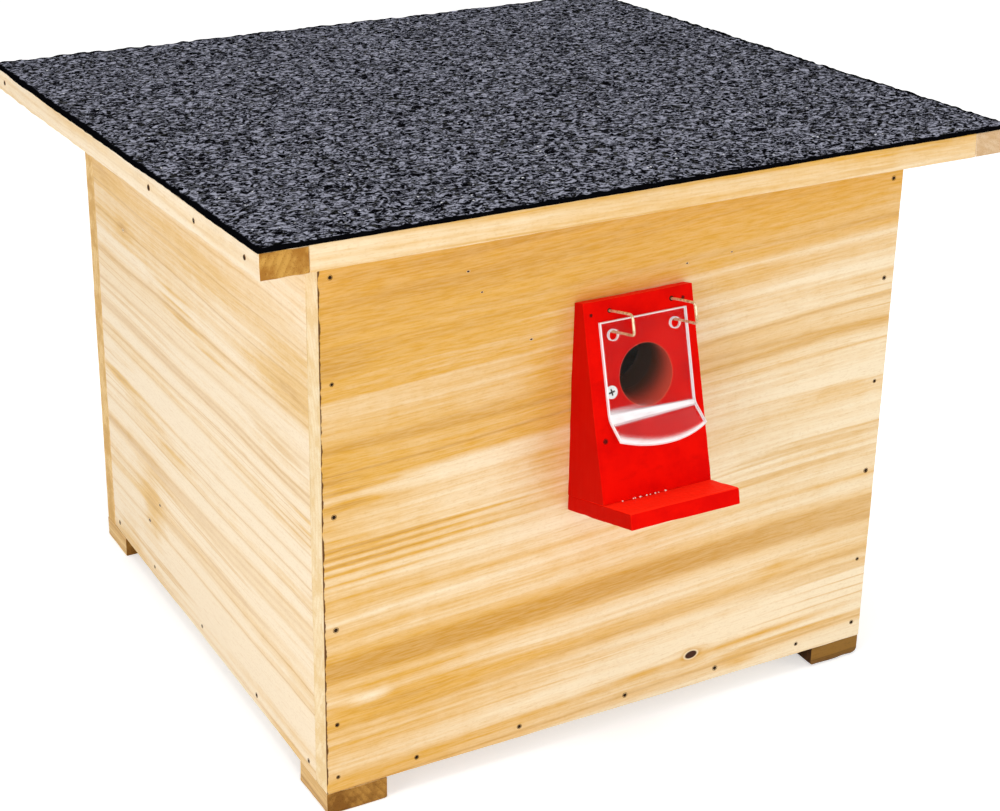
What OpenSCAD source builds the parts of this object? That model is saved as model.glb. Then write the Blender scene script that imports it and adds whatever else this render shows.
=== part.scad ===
// Bumblebee nest box: a square wooden box on four feet, with a felted lift-off
// lid, and a red entrance block closed by a clear swinging flap.
//
// Frame: X runs along the front, Y from the front to the back and Z up.
// The origin is on the floor, in the middle of the overall footprint.
// All sizes are in millimetres.

/* [Box] */
// Outside width of the box, along its front
box_width = 400; // [320:1:500]
// Outside depth of the box, front face to back face
box_depth = 400; // [320:1:500]
// Height of the front board, from the underside of the box to the lid
front_height = 349; // [280:1:450]
// Fall of the lid towards the back, in degrees
roof_tilt = 2; // [0:0.5:8]
// Thickness of the front, back and side boards
wall_thick = 16; // [12:0.5:22]
// Thickness of the floor board
floor_thick = 16; // [12:0.5:22]

/* [Feet] */
// Side of each square foot
foot_size = 40; // [25:1:60]
// Height of each foot
foot_height = 15; // [8:1:30]
// Rounding of the worn lower corner on the front right foot
foot_wear = 6; // [1:0.5:12]

/* [Lid] */
// Reach of the lid past each side wall
side_overhang = 49; // [20:1:80]
// Reach of the lid past the front board, along the slope
front_overhang = 39; // [15:1:60]
// Reach of the lid past the back board, along the slope
back_overhang = 39; // [15:1:80]
// Thickness of the lid board and its battens
lid_thick = 15; // [12:0.5:22]
// Width of the batten down each side of the lid
batten_width = 28; // [18:1:45]
// Thickness of the roofing felt
felt_thick = 1.5; // [1:0.5:5]
// Play between the walls' top edges and the lid resting on them
lid_play = 0.05; // [0.05:0.05:0.5]

/* [Entrance block] */
// Width of the entrance block and the landing board
block_width = 76; // [60:1:110]
// Backward lean of the block's face, in degrees
block_tilt = 15; // [8:1:22]
// Height of the landing board's underside above the underside of the box
landing_level = 153; // [80:1:180]
// Thickness of the landing board
landing_thick = 10; // [8:0.5:16]
// Length of the landing board, from the wall outwards
landing_length = 73; // [60:1:110]
// Distance of the block's face from the landing board's inner edge
block_depth = 44; // [40:0.5:60]
// Top of the block above the landing board's underside, along the face
block_top = 130; // [125:1:145]
// Diameter of the entrance hole
entrance_d = 36; // [20:1:38]
// Height of the hole's middle above the landing board's underside
entrance_rise = 90.5; // [80:0.5:100]

/* [Flap] */
// Width of the clear flap
flap_width = 60; // [50:1:70]
// Thickness of the clear flap
flap_thick = 2; // [1.5:0.25:3]
// Top edge of the flap above the landing board's underside, along the face
flap_top = 117.5; // [112:0.5:119]
// Start of the bend above the landing board's underside, along the face
flap_bend = 63; // [56:0.5:66]
// Inside radius of the bend
flap_bend_r = 8; // [4:0.5:12]
// Outward angle of the lip below the bend
lip_angle = 42; // [20:1:55]
// Length of the lip in the middle, below the bend
lip_length = 19; // [14:0.5:24]
// Depth of the curve along the lip's free edge
lip_curve = 7; // [3:0.5:10]
// Sideways offset of the flap from the middle of the block
flap_shift = 1; // [-3:0.5:3]
// Gap between the closed flap and the block's face
flap_gap = 0.3; // [0.2:0.1:1]
// Diameter of the two hanging holes
flap_hole_d = 6; // [5.5:0.25:7]
// Distance of the hanging holes from the flap's top edge
flap_hole_drop = 8.5; // [8:0.25:10]
// Distance between the two hanging holes
flap_hole_gap = 43; // [36:0.5:46]

/* [Hooks] */
// Diameter of the hook wire
wire_d = 1.6; // [1.2:0.1:1.8]
// Reach of the hooks out from the block's face
hook_reach = 25; // [16:0.5:32]
// Middle of the upper leg above the landing board's underside
hook_top = 123.3; // [122:0.1:126]
// Depth to which each leg is driven into the block
hook_bite = 7; // [4:0.5:8]
// Inside radius of the hook's bends
hook_bend_r = 2; // [1.5:0.25:3]
// Play between the wire and the upper edge of the flap's hanging hole
wire_play = 0.2; // [0.1:0.05:0.4]

/* [Screw and nails] */
// Diameter of the countersunk screw's head
screw_head_d = 8; // [6:0.5:10]
// Diameter of the screw's shank
screw_d = 4; // [3:0.5:5]
// Length of the screw
screw_length = 35; // [25:1:38]
// Distance of the screw to the left of the block's middle
screw_side = 24.5; // [22:0.5:30]
// Height of the screw above the landing board's underside, along the face
screw_rise = 75.5; // [68:0.5:84]
// Diameter of the nails
nail_d = 2; // [1.2:0.1:3]
// Length of the nails in the walls
nail_length = 35; // [25:1:50]
// Length of the nails in the lid's battens
batten_nail_length = 45; // [35:1:60]
// Length of the nails in the entrance block
block_nail_length = 25; // [18:1:30]
// Distance of the upright rows of nails from the box's corners
nail_inset = 7.5; // [5:0.5:10]

/* [Hidden] */
$fn = 48;

// Sub-parts, in drawing order

// Which sub-part to draw; "all" draws the whole box

// Lid: length along the slope, and its ends in the lid's own frame
slope_depth = box_depth / cos(roof_tilt);
lid_front = -front_overhang;
lid_back = slope_depth + back_overhang;
lid_length = lid_back - lid_front;
lid_width = box_width + 2 * side_overhang;

// Overall reach to the front and the back of the front face
front_reach = max(landing_length * cos(block_tilt),
                  front_overhang * cos(roof_tilt));
back_reach = lid_back * cos(roof_tilt) + (lid_thick + felt_thick) * sin(roof_tilt);
front_y = (front_reach - back_reach) / 2;
back_y = front_y + box_depth;

// Inside of the box
inner_front = front_y + wall_thick;
inner_back = back_y - wall_thick;
inner_width = box_width - 2 * wall_thick;

// Entrance block
face_slope = tan(block_tilt);
block_height = block_top - landing_thick;
entrance_y = (block_depth * sin(block_tilt) - entrance_rise) / cos(block_tilt);

// Hooks: the lower leg carries the flap by the upper edge of its holes
flap_hole_rise = flap_top - flap_hole_drop;
hook_low = flap_hole_rise + flap_hole_d / 2 - wire_d / 2 - wire_play;
hook_half = flap_hole_gap / 2;
hook_centre_r = hook_bend_r + wire_d / 2;

// Nail places, as shares of the row they stand in
left_steps = [0.03, 0.135, 0.32, 0.53, 0.765, 0.945];
right_steps = [0.035, 0.175, 0.365, 0.55, 0.755, 0.945];
bottom_steps = [0.15, 0.33, 0.525, 0.70, 0.865];
side_steps = [0.066, 0.27, 0.509, 0.74, 0.93];
batten_steps = [0.04, 0.19, 0.34, 0.52, 0.68, 0.82, 0.95];

// Height of the walls' top edges above the floor, at a place from front to back
function under_lid(y) =
  foot_height + front_height - (y - front_y) * tan(roof_tilt);

// Draws children in the lid's frame: Y down the slope, Z square to the lid
module in_lid() {
  translate([0, front_y, foot_height + front_height + lid_play])
    rotate([-roof_tilt, 0, 0])
      children();
}

// Draws children in the block's frame: Y into the wall, Z up the leaning face
module in_block() {
  translate([0, front_y, foot_height + landing_level])
    rotate([-block_tilt, 0, 0])
      children();
}

// Extrudes a YZ profile along X, centred
module along_x(width) {
  rotate([90, 0, 90])
    translate([0, 0, -width / 2])
      linear_extrude(width)
        children();
}

// A board standing across the box, its top cut to the lid's slope
module standing(width, y0, y1) {
  along_x(width)
    polygon([[y0, foot_height], [y1, foot_height],
             [y1, under_lid(y1)], [y0, under_lid(y0)]]);
}

// A nail driven along +Y from y
module nail_y(x, y, z, length) {
  translate([x, y, z])
    rotate([-90, 0, 0])
      cylinder(d = nail_d, h = length);
}

// A nail driven along X from x; side is 1 or -1, the way it's driven
module nail_x(x, y, z, length, side) {
  translate([x, y, z])
    rotate([0, 90 * side, 0])
      cylinder(d = nail_d, h = length);
}

// Nails of a front or back board, driven along +Y from y
module board_nails(y, low_z, high_z) {
  for (step = left_steps)
    nail_y(nail_inset - box_width / 2, y, low_z + step * (high_z - low_z), nail_length);
  for (step = right_steps)
    nail_y(box_width / 2 - nail_inset, y, low_z + step * (high_z - low_z), nail_length);
  for (step = bottom_steps)
    nail_y((step - 0.5) * box_width, y,
           foot_height + floor_thick / 2, nail_length);
}

module all_front_nails() {
  board_nails(front_y, foot_height, under_lid(front_y));
}

module all_back_nails() {
  board_nails(back_y - nail_length, foot_height, under_lid(back_y));
}

// Nails through a side wall into the floor board; side is -1 left or 1 right
module side_nails(side) {
  for (step = side_steps)
    nail_x(side * box_width / 2, front_y + step * box_depth,
           foot_height + floor_thick / 2, nail_length, -side);
}

// Nails through a lid batten into the lid board
module batten_nails(side) {
  in_lid()
    for (step = batten_steps)
      nail_x(side * lid_width / 2, lid_front + step * lid_length,
             lid_thick / 2, batten_nail_length, -side);
}

// Nails through the block's face into the front board
module all_block_nails() {
  in_block() {
    nail_y(-33, -block_depth, 122.5, block_nail_length);
    nail_y(30.5, -block_depth, 122.5, block_nail_length);
    nail_y(-32, -block_depth, 47.5, block_nail_length + 20);
  }
}

// The entrance hole, level, through the block and the front board
module entrance_hole() {
  translate([0, front_y - block_depth, foot_height + landing_level + entrance_rise])
    rotate([-90, 0, 0])
      cylinder(d = entrance_d, h = block_depth + wall_thick + 1, $fn = 96);
}

// The countersunk screw without its cross recess
module screw_body() {
  in_block()
    translate([-screw_side, -block_depth, screw_rise])
      rotate([-90, 0, 0]) {
        cylinder(d1 = screw_head_d, d2 = screw_d, h = (screw_head_d - screw_d) / 2);
        cylinder(d = screw_d, h = screw_length - screw_d);
        translate([0, 0, screw_length - screw_d])
          cylinder(d1 = screw_d, d2 = 0.5, h = screw_d);
      }
}

// One leg of a hook, from inside the block out to the bend
module hook_leg(x, z) {
  translate([x, -block_depth + hook_bite, z])
    rotate([90, 0, 0])
      cylinder(d = wire_d, h = hook_bite + hook_reach - hook_centre_r, $fn = 24);
}

// One rounded corner of a hook, turning a leg into the upright
module hook_corner(x, z, turn) {
  translate([x, -block_depth - hook_reach + hook_centre_r, z])
    rotate([0, 0, 90])
      rotate([90, 0, 0])
        rotate([0, 0, turn])
          rotate_extrude(angle = 90, $fn = 48)
            translate([hook_centre_r, 0])
              circle(d = wire_d, $fn = 24);
}

module hook(x) {
  in_block() {
    hook_leg(x, hook_top);
    hook_leg(x, hook_low);
    hook_corner(x, hook_top - hook_centre_r, 90);
    hook_corner(x, hook_low + hook_centre_r, 180);
    translate([x, -block_depth - hook_reach, hook_low + hook_centre_r])
      cylinder(d = wire_d, h = hook_top - hook_low - 2 * hook_centre_r, $fn = 24);
  }
}

module hook_legs(x) {
  in_block() {
    hook_leg(x, hook_top);
    hook_leg(x, hook_low);
  }
}

module front_board() {
  color([0.86, 0.68, 0.42])
    difference() {
      standing(box_width, front_y, inner_front);
      entrance_hole();
      all_front_nails();
      all_block_nails();
      screw_body();
    }
}

module back_board() {
  color([0.86, 0.68, 0.42])
    difference() {
      standing(box_width, inner_back, back_y);
      all_back_nails();
    }
}

// A side wall; side is -1 left or 1 right
module side_wall(side) {
  difference() {
    translate([side * (box_width - wall_thick) / 2, 0, 0])
      standing(wall_thick, inner_front, inner_back);
    all_front_nails();
    all_back_nails();
    side_nails(side);
  }
}

module left_wall() {
  color([0.90, 0.76, 0.54])
    side_wall(-1);
}

module right_wall() {
  color([0.90, 0.76, 0.54])
    side_wall(1);
}

module floor_board() {
  color([0.84, 0.69, 0.46])
    difference() {
      translate([-inner_width / 2, inner_front, foot_height])
        cube([inner_width, inner_back - inner_front, floor_thick]);
      all_front_nails();
      all_back_nails();
      side_nails(-1);
      side_nails(1);
    }
}

// A square foot under a corner; sx is -1 left or 1 right, at the front if sy is 0
module foot(sx, sy) {
  x0 = sx < 0 ? -box_width / 2 : box_width / 2 - foot_size;
  y0 = sy == 0 ? front_y : back_y - foot_size;
  translate([x0, y0, 0])
    cube([foot_size, foot_size, foot_height]);
}

module front_left_foot() {
  color([0.55, 0.36, 0.20])
    foot(-1, 0);
}

// This foot's lower outer edge is worn round
module front_right_foot() {
  color([0.55, 0.36, 0.20])
    difference() {
      foot(1, 0);
      translate([box_width / 2 - foot_wear, front_y - 1, 0])
        difference() {
          translate([0, 0, -1])
            cube([foot_wear + 1, foot_size + 2, foot_wear + 1]);
          translate([0, -1, foot_wear])
            rotate([-90, 0, 0])
              cylinder(r = foot_wear, h = foot_size + 4);
        }
    }
}

module back_left_foot() {
  color([0.55, 0.36, 0.20])
    foot(-1, 1);
}

module back_right_foot() {
  color([0.55, 0.36, 0.20])
    foot(1, 1);
}

module lid_board() {
  color([0.85, 0.66, 0.40])
    difference() {
      in_lid()
        translate([-lid_width / 2 + batten_width, lid_front, 0])
          cube([lid_width - 2 * batten_width, lid_length, lid_thick]);
      batten_nails(-1);
      batten_nails(1);
    }
}

// A batten down one side of the lid
module lid_batten(side) {
  x0 = side < 0 ? -lid_width / 2 : lid_width / 2 - batten_width;
  difference() {
    in_lid()
      translate([x0, lid_front, 0])
        cube([batten_width, lid_length, lid_thick]);
    batten_nails(side);
  }
}

module left_lid_batten() {
  color([0.80, 0.60, 0.36])
    lid_batten(-1);
}

module right_lid_batten() {
  color([0.80, 0.60, 0.36])
    lid_batten(1);
}

module roofing_felt() {
  color([0.20, 0.21, 0.23])
    in_lid()
      translate([-lid_width / 2, lid_front, lid_thick])
        cube([lid_width, lid_length, felt_thick]);
}

module entrance_block() {
  color([0.75, 0.04, 0.05])
    difference() {
      in_block()
        along_x(block_width)
          polygon([[-landing_thick * face_slope, landing_thick],
                   [-block_depth, landing_thick],
                   [-block_depth, block_top],
                   [-block_top * face_slope, block_top]]);
      entrance_hole();
      all_block_nails();
      screw_body();
      hook_legs(flap_shift - hook_half);
      hook_legs(flap_shift + hook_half);
    }
}

module landing_board() {
  color([0.75, 0.04, 0.05])
    in_block()
      along_x(block_width)
        polygon([[0, 0], [-landing_length, 0],
                 [-landing_length, landing_thick],
                 [-landing_thick * face_slope, landing_thick]]);
}

// Side view of the flap's plate and bend, in the block's frame
module flap_profile() {
  back = -block_depth - flap_gap;
  outer_r = flap_bend_r + flap_thick;
  translate([back - flap_thick, flap_bend])
    square([flap_thick, flap_top - flap_bend]);
  translate([back - outer_r, flap_bend])
    intersection() {
      difference() {
        circle(r = outer_r, $fn = 96);
        circle(r = flap_bend_r, $fn = 96);
      }
      polygon([[0, 0], [2 * outer_r, 0],
               [2 * outer_r * cos(lip_angle), -2 * outer_r * sin(lip_angle)]]);
    }
}

// The lip below the bend, with its curved free edge
module flap_lip() {
  edge_r = (pow(flap_width / 2, 2) + pow(lip_curve, 2)) / (2 * lip_curve);
  translate([0, -block_depth - flap_gap - flap_bend_r - flap_thick, flap_bend])
    rotate([-lip_angle, 0, 0])
      translate([0, flap_bend_r + flap_thick, 0])
        rotate([90, 0, 0])
          linear_extrude(flap_thick)
            intersection() {
              translate([-flap_width / 2, -lip_length])
                square([flap_width, lip_length]);
              translate([0, edge_r - lip_length])
                circle(r = edge_r, $fn = 128);
            }
}

module entrance_flap() {
  color([0.85, 0.90, 0.92, 0.35])
    in_block()
      translate([flap_shift, 0, 0])
        difference() {
          union() {
            along_x(flap_width)
              flap_profile();
            flap_lip();
          }
          for (side = [-1, 1])
            translate([side * hook_half, -block_depth, flap_hole_rise])
              rotate([90, 0, 0])
                cylinder(d = flap_hole_d, h = flap_gap + flap_thick + 2);
        }
}

module left_hook() {
  color([0.72, 0.66, 0.50])
    hook(flap_shift - hook_half);
}

module right_hook() {
  color([0.72, 0.66, 0.50])
    hook(flap_shift + hook_half);
}

// The countersunk screw, with a cross recess
module block_screw() {
  arm = screw_head_d * 0.55;
  slot = screw_head_d * 0.14;
  color([0.80, 0.80, 0.78])
    difference() {
      screw_body();
      in_block()
        translate([-screw_side, -block_depth, screw_rise])
          for (turn = [0, 90])
            rotate([0, turn, 0])
              translate([-arm / 2, -1, -slot / 2])
                cube([arm, 2.4, slot]);
    }
}

module front_nails() {
  color([0.30, 0.27, 0.25])
    all_front_nails();
}

module back_nails() {
  color([0.30, 0.27, 0.25])
    all_back_nails();
}

module left_wall_nails() {
  color([0.30, 0.27, 0.25])
    side_nails(-1);
}

module right_wall_nails() {
  color([0.30, 0.27, 0.25])
    side_nails(1);
}

module left_batten_nails() {
  color([0.30, 0.27, 0.25])
    batten_nails(-1);
}

module right_batten_nails() {
  color([0.30, 0.27, 0.25])
    batten_nails(1);
}

module block_nails() {
  color([0.30, 0.27, 0.25])
    all_block_nails();
}

front_board();
back_board();
left_wall();
right_wall();
floor_board();
front_left_foot();
front_right_foot();
back_left_foot();
back_right_foot();
lid_board();
left_lid_batten();
right_lid_batten();
roofing_felt();
entrance_block();
landing_board();
entrance_flap();
left_hook();
right_hook();
block_screw();
front_nails();
back_nails();
left_wall_nails();
right_wall_nails();
left_batten_nails();
right_batten_nails();
block_nails();
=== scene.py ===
"""A wooden bumblebee nest box with a felted lid and a red entrance block."""

import math

import bpy
import numpy as np
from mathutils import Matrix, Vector


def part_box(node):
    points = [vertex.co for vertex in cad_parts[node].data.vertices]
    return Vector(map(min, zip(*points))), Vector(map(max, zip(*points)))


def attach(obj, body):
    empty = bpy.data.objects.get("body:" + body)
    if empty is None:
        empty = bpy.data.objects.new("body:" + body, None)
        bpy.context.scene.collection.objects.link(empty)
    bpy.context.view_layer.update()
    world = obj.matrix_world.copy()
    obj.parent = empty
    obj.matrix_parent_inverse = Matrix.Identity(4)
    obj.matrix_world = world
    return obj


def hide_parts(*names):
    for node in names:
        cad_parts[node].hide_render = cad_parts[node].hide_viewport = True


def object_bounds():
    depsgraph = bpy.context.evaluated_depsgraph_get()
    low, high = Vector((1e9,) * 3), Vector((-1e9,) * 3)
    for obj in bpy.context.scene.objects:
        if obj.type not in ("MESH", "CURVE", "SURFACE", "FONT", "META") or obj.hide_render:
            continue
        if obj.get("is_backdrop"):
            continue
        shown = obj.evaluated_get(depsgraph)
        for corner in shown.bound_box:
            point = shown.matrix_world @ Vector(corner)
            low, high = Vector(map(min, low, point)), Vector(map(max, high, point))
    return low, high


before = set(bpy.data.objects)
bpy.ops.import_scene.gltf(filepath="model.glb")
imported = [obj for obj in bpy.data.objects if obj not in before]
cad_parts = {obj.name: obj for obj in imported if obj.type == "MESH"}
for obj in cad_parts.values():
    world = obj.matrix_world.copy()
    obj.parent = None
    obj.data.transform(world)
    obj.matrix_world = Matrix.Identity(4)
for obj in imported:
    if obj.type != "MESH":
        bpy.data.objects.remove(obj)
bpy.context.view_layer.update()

MM = 0.001
LID_TILT = math.radians(2.0)
BLOCK_TILT = math.radians(15.0)

# Places read from the CAD boxes, in metres
front_lo, front_hi = (np.array(c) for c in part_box("front_board"))
back_lo, back_hi = (np.array(c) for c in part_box("back_board"))
felt_lo, felt_hi = (np.array(c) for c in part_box("roofing_felt"))
FRONT_Y = front_lo[1]
BACK_Y = back_hi[1]
WALL = front_hi[1] - front_lo[1]
FOOT = front_lo[2]
FRONT_TOP = front_hi[2]
HALF = front_hi[0]
LID_SEAT = FRONT_TOP + 0.05 * MM
LID_BOARD = 15.0 * MM
FELT = 1.5 * MM
LANDING_Z = FOOT + 153.0 * MM
HOLE_Z = LANDING_Z + 90.5 * MM
HOLE_R = 18.0 * MM
FACE_U = 44.0 * MM
BLOCK_TOP = 130.0 * MM
LANDING_T = 10.0 * MM
LANDING_LEN = 73.0 * MM
BLOCK_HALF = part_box("entrance_block")[1][0]


# ---- shapes


def waves(points, size, seed, count=24):
    """Smooth height field near 0, about 1 high: a mean of sine waves whose
    directions are random and whose wavelengths lie round size."""
    rng = np.random.default_rng(seed)
    turn = rng.normal(size=(count, 3))
    turn /= np.linalg.norm(turn, axis=1)[:, None]
    pitch = 2 * np.pi / (size * rng.uniform(0.6, 1.8, count))
    phase = rng.uniform(0, 2 * np.pi, count)
    field = np.sin(points @ (turn * pitch[:, None]).T + phase)
    return field.sum(axis=1) / math.sqrt(count / 2)


def lid_place(p):
    """Lid frame to row frame: a turn about X by the lid's fall, then a move
    to the top of the front board's outer edge."""
    c, s = math.cos(LID_TILT), math.sin(LID_TILT)
    return np.column_stack(
        (p[:, 0], FRONT_Y + c * p[:, 1] + s * p[:, 2], LID_SEAT - s * p[:, 1] + c * p[:, 2])
    )


def block_place(p):
    """Block frame to row frame: a turn about X by the face's lean, then a move
    to where the landing board's underside meets the front board."""
    c, s = math.cos(BLOCK_TILT), math.sin(BLOCK_TILT)
    return np.column_stack(
        (p[:, 0], FRONT_Y + c * p[:, 1] + s * p[:, 2], LANDING_Z - s * p[:, 1] + c * p[:, 2])
    )


def make_piece(name, points, faces, body, materials, stands_for=(), pick=None, marks=None):
    """Puts arrays of points and faces into a mesh that rides on a body. marks
    names a value held at each point, which a material can read."""
    mesh = bpy.data.meshes.new(name)
    mesh.from_pydata(points.tolist(), [], [list(f) for f in faces])
    for key, value in (marks or {}).items():
        mesh.attributes.new(key, "FLOAT", "POINT").data.foreach_set("value", np.asarray(value, np.float32))
    for m in materials:
        mesh.materials.append(m)
    if pick is not None:
        mesh.polygons.foreach_set("material_index", np.asarray(pick, dtype=np.int32))
    mesh.polygons.foreach_set("use_smooth", np.ones(len(mesh.polygons), dtype=bool))
    mesh.update()
    piece = bpy.data.objects.new(name, mesh)
    bpy.context.scene.collection.objects.link(piece)
    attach(piece, body)
    if stands_for:
        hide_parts(*stands_for)
    return piece


def ease(piece, width, segments=2, angle=35):
    """Rounds the arrises of a piece by a small width."""
    mod = piece.modifiers.new("arris", "BEVEL")
    mod.width = width
    mod.segments = segments
    mod.limit_method = "ANGLE"
    mod.angle_limit = math.radians(angle)
    mod.harden_normals = True
    mod.miter_outer = "MITER_ARC"
    return piece


def lattice(xs, ys, zs):
    """Points and quads of a closed box shell whose six sides share one lattice:
    every lattice point that lies on an outer side is kept, and each side's
    squares join them, wound to face outwards."""
    nx, ny, nz = len(xs), len(ys), len(zs)
    shell = np.zeros((nx, ny, nz), bool)
    shell[[0, -1]] = True
    shell[:, [0, -1]] = True
    shell[:, :, [0, -1]] = True
    index = np.full(shell.shape, -1)
    index[shell] = np.arange(shell.sum())
    grid = np.stack(np.meshgrid(xs, ys, zs, indexing="ij"), axis=-1)
    points = grid[shell]

    def quads(side, flip):
        a, b, c, d = side[:-1, :-1], side[1:, :-1], side[1:, 1:], side[:-1, 1:]
        q = np.stack((a, b, c, d), axis=-1).reshape(-1, 4)
        return q[:, ::-1] if flip else q

    faces = np.concatenate(
        [
            quads(index[0], True), quads(index[-1], False),
            quads(index[:, 0], False), quads(index[:, -1], True),
            quads(index[:, :, 0], True), quads(index[:, :, -1], False),
        ]
    )
    return points, faces


def joined_rows(rows, count, ring=False, round_row=True):
    """Quads between each row of count points and the next: round every row, or
    to its end only, and from the last row to the first for a ring."""
    i, j = np.meshgrid(np.arange(rows - (not ring)), np.arange(count - (not round_row)), indexing="ij")
    i2, j2 = (i + 1) % rows, (j + 1) % count
    corners = (i * count + j, i2 * count + j, i2 * count + j2, i * count + j2)
    return np.stack(corners, axis=-1).reshape(-1, 4)


def steps(a, b, pitch, least=2):
    """Even stations from a to b, about pitch apart."""
    return np.linspace(a, b, max(least, int(round((b - a) / pitch)) + 1))


def weathered(points, seed, swell=0.10 * MM, nibble=0.04 * MM):
    """Adds a slow swell and a finer nibble to each point, as plane and saw
    leave a board."""
    out = points.copy()
    for axis in range(3):
        out[:, axis] += swell * waves(points, 90 * MM, seed + axis)
        out[:, axis] += nibble * waves(points, 14 * MM, seed + 7 + axis)
    return out


def wall_top(y):
    """Height of the walls' tops: falls from the front board's top at the lid's
    slope."""
    return FRONT_TOP - (y - FRONT_Y) * math.tan(LID_TILT)


def standing_board(name, lo, hi, material, seed, pitch=5 * MM):
    """A wall: a lattice box whose upper points are lowered in proportion to
    their height, so that its top follows the lid."""
    pts, faces = lattice(
        steps(lo[0], hi[0], pitch), steps(lo[1], hi[1], pitch), np.linspace(0, 1, 72)
    )
    pts[:, 2] = lo[2] + pts[:, 2] * (wall_top(pts[:, 1]) - lo[2])
    pts = weathered(pts, seed)
    piece = make_piece(name, pts, faces, "box", [material], (name,))
    return ease(piece, 0.7 * MM)


def pierced_board(name, corners, hole, radius, body, material, seed, rings=22,
                  around=256, stands_for=None, swell=0.10 * MM, nibble=0.04 * MM, deep=10):
    """A board or wedge with one round hole along Y. Its front and its back are
    each a four-sided face, mapped from the unit square. Each of the stations
    round the square's rim runs in a straight line to the hole's edge; the rim
    walls and the bore's wall close the surface like a tube bent into a ring.
    corners: front then back, each as four points, anticlockwise from lower
    left as seen from the front."""
    turn = np.linspace(0, 2 * np.pi, around, endpoint=False) + np.pi / 4
    c, s = np.cos(turn), np.sin(turn)
    reach = np.maximum(abs(c), abs(s))
    u, v = c / reach, s / reach
    weights = np.stack(
        ((1 - u) * (1 - v), (1 + u) * (1 - v), (1 + u) * (1 + v), (1 - u) * (1 + v)), axis=1
    ) / 4
    front, back = (np.array(corners[k]) for k in (0, 1))
    rim_f, rim_b = weights @ front, weights @ back

    def edge(rim, face):
        """The hole's edge on a plane face, straight towards each rim station."""
        angle = np.arctan2(rim[:, 2] - hole[2], rim[:, 0] - hole[0])
        x = hole[0] + radius * np.cos(angle)
        z = hole[2] + radius * np.sin(angle)
        n = np.cross(face[1] - face[0], face[3] - face[0])
        y = face[0][1] - (n[0] * (x - face[0][0]) + n[2] * (z - face[0][2])) / n[1]
        return np.column_stack((x, y, z))

    mouth_f, mouth_b = edge(rim_f, front), edge(rim_b, back)
    out = np.linspace(0, 1, rings)[:, None, None] ** 1.25
    side = np.linspace(0, 1, deep)[1:-1, None, None]
    bore = np.linspace(0, 1, deep)[1:-1, None, None]
    rows = np.concatenate(
        (
            mouth_f + (rim_f - mouth_f) * out,
            rim_f + (rim_b - rim_f) * side,
            (mouth_b + (rim_b - mouth_b) * out)[::-1],
            mouth_b + (mouth_f - mouth_b) * bore,
        )
    )
    n_rows = len(rows)
    pts = weathered(rows.reshape(-1, 3), seed, swell, nibble)
    quads = joined_rows(n_rows, around, ring=True)
    piece = make_piece(name, pts, quads, body, [material], stands_for or (name,))
    return ease(piece, 0.7 * MM, angle=40)


# ---- materials


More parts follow.
